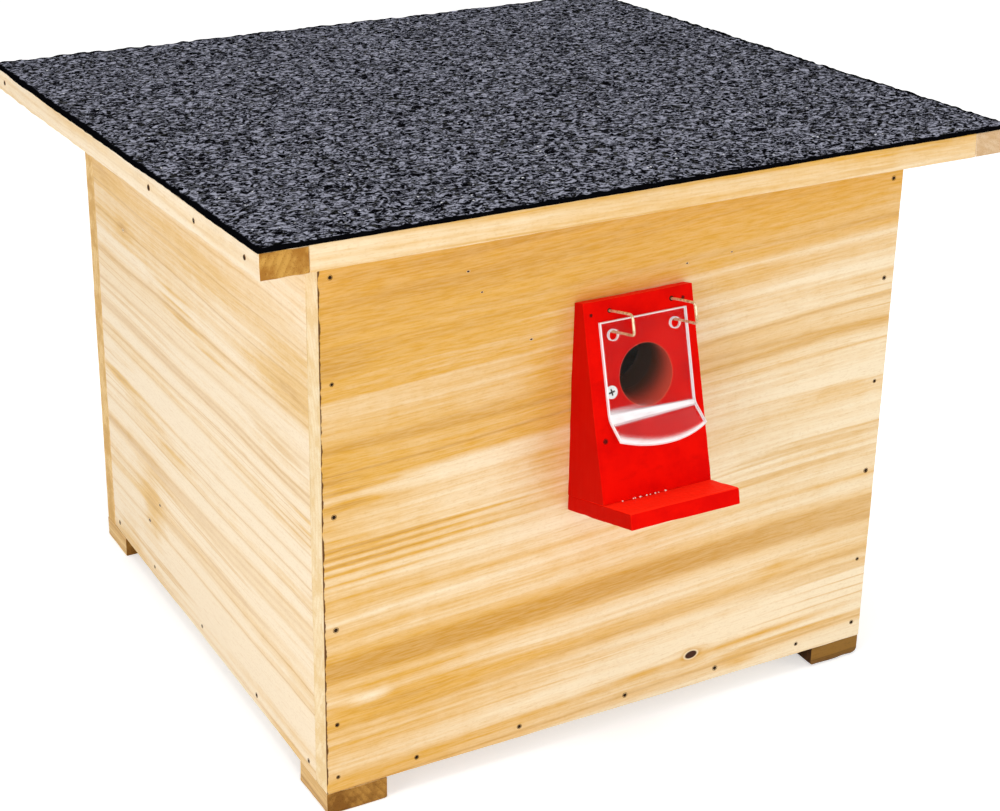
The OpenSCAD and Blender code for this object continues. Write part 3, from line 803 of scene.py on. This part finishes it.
for name, seed, worn in (
    ("front_left_foot", 51, 1.2), ("front_right_foot", 53, 5.5),
    ("back_left_foot", 57, 1.2), ("back_right_foot", 59, 1.2),
):
    lo, hi = (np.array(c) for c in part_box(name))
    pts, faces = lattice(*(steps(a, b, pitch * MM) for a, b, pitch in zip(lo, hi, (2, 2, 0.75))))
    # Worn lower edges: the sides draw in below a quarter round of the given radius
    low = np.clip(1 - (pts[:, 2] - lo[2]) / (worn * MM), 0, 1)
    draw = worn * MM * (1 - np.sqrt(1 - low**2 + 1e-9))
    middle = (lo + hi) / 2
    half = (hi - lo) / 2
    pts[:, 0] = middle[0] + (pts[:, 0] - middle[0]) * (1 - draw / half[0])
    pts[:, 1] = middle[1] + (pts[:, 1] - middle[1]) * (1 - 0.5 * draw / half[1])
    shaped = weathered(pts, seed, 0.2 * MM, 0.10 * MM)
    shaped[:, 2] = np.where(pts[:, 2] < lo[2] + 0.1 * MM, lo[2], shaped[:, 2])
    shaped[:, 2] = np.minimum(shaped[:, 2], hi[2] - 0.02 * MM)
    wood = dark_foot_wood if name == "front_right_foot" else foot_wood
    ease(make_piece(name, shaped, faces, "box", [wood], (name,)), 0.6 * MM)


# ---- entrance block


def in_block(x, u, w):
    """A point of the block frame: u out from the wall, w up the leaning face."""
    return tuple(block_place(np.array([[x, -u, w]]))[0])


def block_face(u0, w0, u1, w1):
    return [in_block(-BLOCK_HALF, u0, w0), in_block(BLOCK_HALF, u0, w0),
            in_block(BLOCK_HALF, u1, w1), in_block(-BLOCK_HALF, u1, w1)]


lean = math.tan(BLOCK_TILT)
pierced_board(
    "entrance_block",
    (block_face(FACE_U, LANDING_T, FACE_U, BLOCK_TOP),
     block_face(LANDING_T * lean, LANDING_T, BLOCK_TOP * lean, BLOCK_TOP)),
    hole_at, HOLE_R, "box", red_finish, 61, rings=26, around=256,
    swell=0.15 * MM, nibble=0.06 * MM, deep=14,
)
pts, faces = lattice(
    steps(-BLOCK_HALF, BLOCK_HALF, 2 * MM), np.linspace(0, 1, 36), steps(0, LANDING_T, 2 * MM)
)
pts[:, 1] = -(pts[:, 2] * lean) + pts[:, 1] * (-(LANDING_LEN) + pts[:, 2] * lean)
pts = block_place(weathered(pts, 67, 0.15 * MM, 0.08 * MM))
landing = make_piece("landing_board", pts, faces[:, ::-1], "box", [red_finish],
                     ("landing_board",))
ease(landing, 0.9 * MM, 3)


# ---- small parts

HOOK_TOP, HOOK_LOW = 123.3 * MM, 111.0 * MM
FLAP_BACK, FLAP_TOP, FLAP_BEND = FACE_U + 0.3 * MM, 117.5 * MM, 63.0 * MM
BEND_OUT, LIP_TURN = 10.0 * MM, math.radians(42.0)


def flap_plan():
    """The flap laid out flat, as x across and s down from its top edge. The top
    band is two rectangles, each pierced by a hanging hole; the rest is a grid
    whose last row follows the rounded lip."""
    per = 12
    band = 2 * HANG_DROP
    along = np.linspace(-1, 1, per + 1)[:-1]
    one = np.ones(per)
    square = np.concatenate((np.column_stack((along, -one)), np.column_stack((one, along)),
                             np.column_stack((-along, one)), np.column_stack((-one, -along))))
    plans, quads, start = [], [], 0
    rings = np.linspace(0, 1, 8)
    for side in (-1, 1):
        rim = np.array([side * FLAP_HALF / 2, HANG_DROP]) + square * (FLAP_HALF / 2, HANG_DROP)
        centre = np.array([side * HANG_X, HANG_DROP])
        way = rim - centre
        mouth = centre + HANG_R * way / np.linalg.norm(way, axis=1)[:, None]
        rows = mouth + (rim - mouth) * rings[:, None, None]
        n, m = rows.shape[:2]
        quads.append(start + joined_rows(n, m))
        plans.append(rows.reshape(-1, 2))
        start += n * m
    both = np.concatenate((np.linspace(-1, 0, per + 1), np.linspace(0, 1, per + 1)))
    xs = np.unique(np.round(both, 9)) * FLAP_HALF
    edge_r = (FLAP_HALF**2 + (7 * MM) ** 2) / (14 * MM)
    mid = BEND_OUT - FLAP_T / 2
    lip_from = FLAP_TOP - FLAP_BEND + mid * LIP_TURN
    ends = lip_from + 19 * MM - (edge_r - np.sqrt(edge_r**2 - xs**2))
    share = np.linspace(0, 1, 20)
    flat_end = FLAP_TOP - FLAP_BEND
    fixed = np.concatenate((np.linspace(band, flat_end, 12), np.linspace(flat_end, lip_from, 13)[1:]))
    lip = lip_from + (ends - lip_from) * share[1:, None]
    grid_s = np.concatenate((np.repeat(fixed[:, None], len(xs), 1), lip))
    grid_x = np.repeat(xs[None], len(grid_s), 0)
    quads.append(start + joined_rows(*grid_s.shape, round_row=False))
    plans.append(np.column_stack((grid_x.ravel(), grid_s.ravel())))
    plan, quads = np.concatenate(plans), np.concatenate(quads)
    keys = np.round(plan * 1e7).astype(np.int64)
    _, first, same = np.unique(keys, axis=0, return_index=True, return_inverse=True)
    plan, quads = plan[first], same.reshape(-1)[quads]
    p = plan[quads]
    one, two = p[:, 2] - p[:, 0], p[:, 3] - p[:, 1]
    area = two[:, 0] * one[:, 1] - one[:, 0] * two[:, 1]
    quads[area < 0] = quads[area < 0][:, ::-1]
    return plan, quads, lip_from, edge_r


def entrance_flap():
    """Bends the flat plan: straight down to the bend, an arc of a circle, then
    straight out to the lip, and gives it the sheet's thickness."""
    plan, quads, lip_from, edge_r = flap_plan()
    count = len(plan)
    to_lip = lip_from + 19 * MM - (edge_r - np.sqrt(edge_r**2 - plan[:, 0] ** 2)) - plan[:, 1]
    turn = np.clip((plan[:, 1] - (FLAP_TOP - FLAP_BEND)) / (BEND_OUT - FLAP_T / 2), 0, LIP_TURN)
    layers = []
    for depth in (FLAP_T, 0.85 * FLAP_T, 0.15 * FLAP_T, 0.0):
        r = BEND_OUT - depth
        out = FLAP_BACK + BEND_OUT - r * np.cos(turn)
        up = FLAP_BEND - r * np.sin(turn) + np.clip(FLAP_TOP - FLAP_BEND - plan[:, 1], 0, None)
        far = np.clip(plan[:, 1] - lip_from, 0, None)
        out, up = out + far * np.sin(LIP_TURN), up - far * np.cos(LIP_TURN)
        layers.append(np.column_stack((FLAP_X + plan[:, 0], -out, up)))
    ways = np.concatenate([quads[:, [k, (k + 1) % 4]] for k in range(4)])
    lone = ways[~np.isin(ways[:, 0] * count + ways[:, 1], ways[:, 1] * count + ways[:, 0])]
    walls = [np.column_stack((lone[:, 1] + k * count, lone[:, 0] + k * count,
                              lone[:, 0] + (k + 1) * count, lone[:, 1] + (k + 1) * count)) for k in range(3)]
    faces = np.concatenate([quads, quads[:, ::-1] + 3 * count] + walls)
    pick = np.concatenate((np.zeros(2 * len(quads), int), np.ones(3 * len(lone), int)))
    # Painted highlight: the heated bend is painted white where it reflects the light, more so to the left, and
    # so is the lip's left corner
    x, s = plan.T
    middle = FLAP_TOP - FLAP_BEND + 3.4 * MM
    reach = (2.7 - x / (28 * MM)) * MM
    glint_and_lip_white = (1.0 - 0.15 * x / FLAP_HALF) * np.exp(-(np.abs((s - middle) / reach) ** 6))
    glint_and_lip_white += 0.9 * np.exp(-(((to_lip - 1.0 * MM) / ((1.9 - x / (24 * MM)) * MM)) ** 2))
    marks = {"bend": np.clip(glint_and_lip_white, 0, 1), "across": abs(x), "down": s, "to_lip": to_lip}
    used, same = np.unique(faces, return_inverse=True)
    make_piece("entrance_flap", block_place(np.concatenate(layers)[used]), same.reshape(faces.shape), "flap",
               [clear_finish, edge_finish], ("entrance_flap",), pick,
               {key: np.tile(value, 4)[used] for key, value in marks.items()})


entrance_flap()


def tube(path, radius, around=18):
    """A round wire along a path that lies in one upright plane x = constant:
    each ring is spanned by the X axis and the path's own normal."""
    step = np.gradient(path, axis=0)
    step /= np.linalg.norm(step, axis=1)[:, None]
    side = np.array([1.0, 0.0, 0.0])
    normal = np.cross(step, side)
    turn = np.linspace(0, 2 * np.pi, around, endpoint=False)
    c, s = np.cos(turn)[None, :, None], np.sin(turn)[None, :, None]
    rings = path[:, None] + radius * (side * c + normal[:, None] * s)
    n = len(path)
    faces = joined_rows(n, around)[:, ::-1].tolist()
    faces += [list(range(around))[::-1], list(range((n - 1) * around, n * around))]
    return rings.reshape(-1, 3), faces


def hook(name, side, sag):
    """One square hook bent from wire: out of the face, down by a rounded corner,
    and back in through the flap's hanging hole."""
    reach, top, low, r = 25.0 * MM, HOOK_TOP, HOOK_LOW, 2.6 * MM
    front = FACE_U + reach
    arc = np.linspace(0, np.pi / 2, 9)
    upper = np.column_stack((front - r + r * np.sin(arc), top - r + r * np.cos(arc)))
    lower = np.column_stack((front - r + r * np.cos(arc), low + r - r * np.sin(arc)))
    run = np.linspace(FACE_U - 6 * MM, front - r, 14)[:-1]
    down = np.linspace(top - r, low + r, 8)[1:-1]
    line = np.concatenate((
        np.column_stack((run, np.full(13, top))), upper,
        np.column_stack((np.full(6, front), down)), lower,
        np.column_stack((run[::-1], np.full(13, low))),
    ))
    slack = np.clip((line[:, 0] - FACE_U) / reach, 0, 1)
    across = np.full(len(line), FLAP_X + side * HANG_X)
    path = np.column_stack((across, -line[:, 0], line[:, 1] - sag * slack**2))
    pts, faces = tube(path, 0.8 * MM)
    make_piece(name, block_place(pts), faces, "box", [wire_finish], (name,))


hook("left_hook", -1, 0.5 * MM)
hook("right_hook", 1, 0.9 * MM)


def studs(centres, outward, sizes, profile, around=20):
    """Small turned forms, one at each centre: a profile of (radius, height)
    pairs, run round the outward direction and scaled by each size. Returns
    points, faces and each face's row of the profile."""
    n = np.asarray(outward, float)
    n /= np.linalg.norm(n)
    a = np.cross(n, [0.31, 0.44, 0.84])
    a /= np.linalg.norm(a)
    b = np.cross(n, a)
    turn = np.linspace(0, 2 * np.pi, around, endpoint=False)
    spoke = np.cos(turn)[:, None] * a + np.sin(turn)[:, None] * b
    rows = np.array([p[0] * spoke + p[1] * n for p in profile])
    k, m = len(profile), around
    quads = joined_rows(k, m)
    pts, faces, row = [], [], []
    for c, size in zip(centres, sizes):
        base = len(pts) * k * m
        pts.append(np.asarray(c) + size * rows.reshape(-1, 3))
        faces += (quads + base).tolist()
        faces += [(base + np.arange(m)).tolist(), (base + (k - 1) * m + np.arange(m)[::-1]).tolist()]
        row += np.repeat(np.arange(k - 1), m).tolist() + [0, k - 1]
    return np.concatenate(pts), faces, np.array(row)


NAIL = [(0.25, 0.10), (0.70, 0.11), (0.96, 0.07), (1.02, -0.06), (1.12, -0.02),
        (1.30, 0.05), (1.46, 0.02), (1.50, -0.5), (0.3, -0.6)]
NAIL = [(r * MM, h * MM) for r, h in NAIL]


def nails(name, places, outward, body, seed, board_seed, head=nail_finish, ring=torn_finish):
    """Nail heads, each with the small bruised ring that the punch left. They
    stand on the board's own uneven surface when its seed is given."""
    rng = np.random.default_rng(seed)
    flat = lay = np.array(places)
    if board_seed:
        lay = np.array([weathered(np.array([p]), board_seed)[0] for p in places])
    out = np.asarray(outward, float)
    out /= np.linalg.norm(out)
    lay = flat + ((lay - flat) @ out)[:, None] * out
    pts, faces, row = studs(lay, outward, rng.uniform(0.90, 1.40, len(places)), NAIL)
    make_piece(name, pts, faces, body, [head, ring], (name,), (row >= 3).astype(int) * (row < 8))


# Painted shade: a dark ring round each hook's drilled hole, for the shade in its mouth round the wire
hole_shade = [(0.82, 0.25), (1.05, 0.32), (1.45, 0.22), (1.60, -0.2), (0.82, -0.3)]
spots = [(FLAP_X + k * HANG_X, -FACE_U, w) for k in (-1, 1) for w in (HOOK_TOP, HOOK_LOW)]
spots = block_place(np.array(spots))
face_out = block_place(np.array([[0, -1.0, 0], [0, 0, 0]]))
hole_shade = [(r * MM, h * MM) for r, h in hole_shade]
pts, faces, row = studs(spots, face_out[0] - face_out[1], [1.0, 0.7, 1.0, 0.7], hole_shade)
make_piece("hook_hole_shades", pts, faces, "box", [nail_finish])

LEFT_ROW = (0.03, 0.135, 0.32, 0.53, 0.765, 0.945)
RIGHT_ROW = (0.035, 0.175, 0.365, 0.55, 0.755, 0.945)
LOW_ROW = (0.15, 0.33, 0.525, 0.70, 0.865)
SIDE_ROW = (0.066, 0.27, 0.509, 0.74, 0.93)
BATTEN_ROW = (0.04, 0.19, 0.34, 0.52, 0.68, 0.82, 0.95)
inset = 7.5 * MM
for name, y, out, board_seed in (
    ("front_nails", FRONT_Y, (0, -1, 0), 3), ("back_nails", BACK_Y, (0, 1, 0), 11)
):
    rise = wall_top(y) - FOOT
    spots = [(inset - HALF, y, FOOT + k * rise) for k in LEFT_ROW]
    spots += [(HALF - inset, y, FOOT + k * rise) for k in RIGHT_ROW]
    spots += [((k - 0.5) * 2 * HALF, y, FOOT + 8 * MM) for k in LOW_ROW]
    nails(name, spots, out, "box", board_seed, board_seed)
for name, side, board_seed in (("left_wall_nails", -1, 23), ("right_wall_nails", 1, 29)):
    spots = [(side * HALF, FRONT_Y + k * (BACK_Y - FRONT_Y), FOOT + 8 * MM) for k in SIDE_ROW]
    nails(name, spots, (side, 0, 0), "box", board_seed, board_seed)
for name, side, seed in (("left_batten_nails", -1, 71), ("right_batten_nails", 1, 73)):
    spots = [(side * lid_half, lid_from + k * (lid_to - lid_from), LID_BOARD / 2) for k in BATTEN_ROW]
    spots = lid_place(np.array(spots))
    nails(name, spots + np.array([side * 0.15 * MM, 0, 0]), (side, 0, 0), "lid", seed, 0)
nails("block_nails", block_place(np.array([(-33, -44, 122.5), (30.5, -44, 122.5), (-32, -44, 47.5)]) * MM),
      face_out[0] - face_out[1], "box", 75, 61, painted_nail, painted_ring)


def block_screw():
    """A pan of small rise with a cross cut into it: height over a polar grid,
    lowered where either arm of the cross runs, and painted dark there as shade."""
    rings, around = 30, 96
    r = np.linspace(0.02, 1, rings)[:, None]
    turn = np.linspace(0, 2 * np.pi, around, endpoint=False)[None]
    R = 4.0 * MM
    x, z = R * r * np.cos(turn + 0.2), R * r * np.sin(turn + 0.2)
    rise = 0.06 * MM + 0.19 * MM * np.sqrt(np.clip(1 - r**4, 0, 1)) * np.ones_like(turn)
    arm = np.minimum(np.abs(r * np.cos(turn)), np.abs(r * np.sin(turn))) * np.ones_like(rise)
    far = r * np.ones_like(rise)
    cut = (arm < 0.13) & (far < 0.56)
    rise = np.where(cut, 0.07 * MM, rise)
    top = np.stack((-24.5 * MM + x, -(FACE_U + rise), 75.5 * MM + z), axis=-1)
    low = top[-1].copy()
    low[:, 1] = -(FACE_U - 1.2 * MM)
    pts = np.concatenate((top.reshape(-1, 3), low))
    quads = joined_rows(rings + 1, around)
    # Painted shade: faces in the cross take the dark nail finish, for the shade in the recess
    dark = (cut.ravel()[quads[:-around]].sum(axis=1) >= 3).astype(int)
    pick = np.concatenate((dark, np.zeros(around, int), [1, 0]))
    faces = quads.tolist() + [list(range(around)), (rings * around + np.arange(around)[::-1]).tolist()]
    make_piece("block_screw", block_place(pts), faces, "box", [zinc_finish, nail_finish],
               ("block_screw",), pick)


block_screw()

# Glue that was squeezed out of the joint over the landing board
rng = np.random.default_rng(19)
bead_x = np.sort(rng.uniform(-27, 8, 15)) * MM
corner = np.tile((-FACE_U - 0.2 * MM, LANDING_T + 0.2 * MM), (15, 1))
beads = block_place(np.column_stack((bead_x, corner)))
ball = [(math.sin(t) * MM, math.cos(t) * MM) for t in np.linspace(0.12, np.pi - 0.12, 9)]
pts, faces, row = studs(beads, (0, -0.3, 1), rng.uniform(0.25, 0.62, 15), ball, 12)
glue_finish = metal("dry_glue", (0.88, 0.82, 0.74), (0.80, 0.55, 0.48), 0.4, 0.6, 900.0, 0.0)
make_piece("glue_beads", pts, faces, "box", [glue_finish])


# ---- scene


def set_camera():
    """Eye, turn and lens that give the box its own perspective."""
    data = bpy.data.cameras.new("eye")
    data.sensor_width = 36
    data.lens = 71.445
    data.shift_x = 0.04073
    data.shift_y = -0.08344
    eye = bpy.data.objects.new("eye", data)
    bpy.context.scene.collection.objects.link(eye)
    eye.location = (-0.60286, -1.09346, 0.72542)
    eye.rotation_euler = tuple(math.radians(a) for a in (67.8171, -0.5154, -28.0922))
    bpy.context.scene.camera = eye


def lamp(name, place, aim, size, power):
    """A round soft lamp aimed at a point."""
    data = bpy.data.lights.new(name, "AREA")
    data.shape = "DISK"
    data.size = size
    data.energy = power
    light = bpy.data.objects.new(name, data)
    bpy.context.scene.collection.objects.link(light)
    light.location = place
    light.rotation_euler = (Vector(aim) - Vector(place)).to_track_quat("-Z", "Y").to_euler()


def set_studio():
    """A white floor that keeps a soft shadow, a white surround and soft lamps."""
    bpy.ops.mesh.primitive_plane_add(size=60, location=(0, 0, -0.0002))
    ground = bpy.context.object
    ground.name = "studio_floor"
    ground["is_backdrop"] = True
    s = Shade("studio_floor")
    seen = s.node("ShaderNodeLightPath").outputs["Is Camera Ray"]
    s.finish((0.86, 0.86, 0.86), 0.9, Specular_IOR_Level=0.0)
    s.join((1.0, 1.0, 1.0), s.surface.inputs["Emission Color"])
    s.join(s.times(seen, 0.48), s.surface.inputs["Emission Strength"])
    ground.data.materials.append(s.material)

    world = bpy.data.worlds.new("surround")
    bpy.context.scene.world = world
    world.use_nodes = True
    tree = world.node_tree
    sky = tree.nodes["Background"]
    sky.inputs["Color"].default_value = (1, 1, 1, 1)
    path = tree.nodes.new("ShaderNodeLightPath")
    rays = path.outputs["Is Camera Ray"]
    for kind in ("Is Glossy Ray", "Is Transmission Ray"):
        either = tree.nodes.new("ShaderNodeMath")
        either.operation = "MAXIMUM"
        tree.links.new(rays, either.inputs[0])
        tree.links.new(path.outputs[kind], either.inputs[1])
        rays = either.outputs[0]
    level = tree.nodes.new("ShaderNodeMapRange")
    level.inputs["To Min"].default_value = 0.42
    level.inputs["To Max"].default_value = 1.0
    tree.links.new(rays, level.inputs["Value"])
    tree.links.new(level.outputs[0], sky.inputs["Strength"])

    lamp("front_soft", (-0.55, -2.7, 0.85), (0, 0, 0.2), 1.6, 24)
    lamp("left_soft", (-2.6, -0.9, 0.95), (0, 0, 0.2), 1.5, 28)
    lamp("right_soft", (1.9, -2.0, 0.8), (0, 0, 0.2), 1.4, 9)
    lamp("top_soft", (-0.2, -0.2, 2.6), (0, 0, 0.2), 1.6, 33)
    bpy.context.scene.view_settings.view_transform = "Standard"


set_camera()
set_studio()

low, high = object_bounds()
